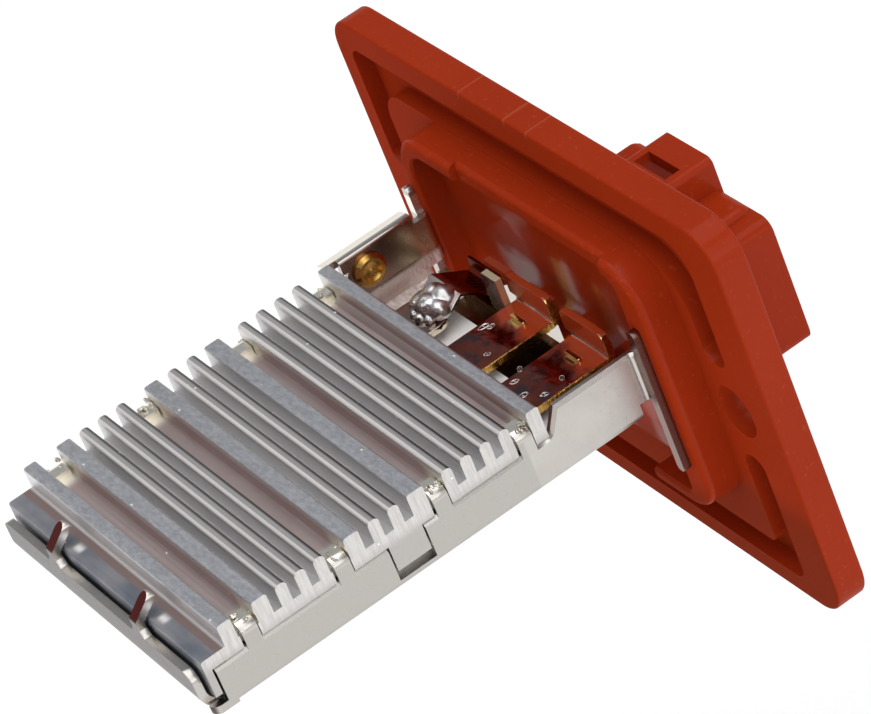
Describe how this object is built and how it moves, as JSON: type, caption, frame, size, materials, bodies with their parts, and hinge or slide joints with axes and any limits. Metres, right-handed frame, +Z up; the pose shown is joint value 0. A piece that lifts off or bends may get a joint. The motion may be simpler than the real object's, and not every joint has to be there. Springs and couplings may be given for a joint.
{
  "type": "blower motor resistor",
  "caption": "Resistor for a fan motor: finned heat sink clamped on a folded metal tray, held in a moulded flange with a plug socket on its back.",
  "frame": {"origin": "middle of the flange between its screw holes, on the face of the front rim that meets the duct", "axes": "+X across the flange through both screw holes, +Y from the fins towards the plug, +Z up through the fins"},
  "size_m": [0.0724, 0.0774, 0.0492],
  "materials": {
    "housing_plastic": "brick red moulded plastic, soft gloss",
    "extruded_aluminium": "extruded and sawn, drawing lines along the fins",
    "plated_sheet": "bright tin plated sheet",
    "card_ceramic": "fired alumina, matt",
    "resistor_ink": "printed and glazed",
    "tinned_brass": "tinned faces with bare sheared edges",
    "solder": "uneven solder",
    "spring_strip": "bright strip",
    "rivet_brass": "drawn brass"
  },
  "bodies": {
    "root": {"housing": "housing_plastic", "heat_sink": "extruded_aluminium", "bracket_tray": "plated_sheet", "ceramic_card": "card_ceramic", "resistor_track_low": "resistor_ink", "resistor_track_mid": "resistor_ink", "resistor_track_high": "resistor_ink", "terminal_left": "tinned_brass", "terminal_centre": "tinned_brass", "terminal_right": "tinned_brass", "card_solder": "solder", "contact_pin_left": "tinned_brass", "contact_pin_centre": "tinned_brass", "contact_pin_right": "tinned_brass", "fuse_spring": "spring_strip", "fuse_solder": "solder", "side_rivet": "rivet_brass"}
  },
  "joints": []
}
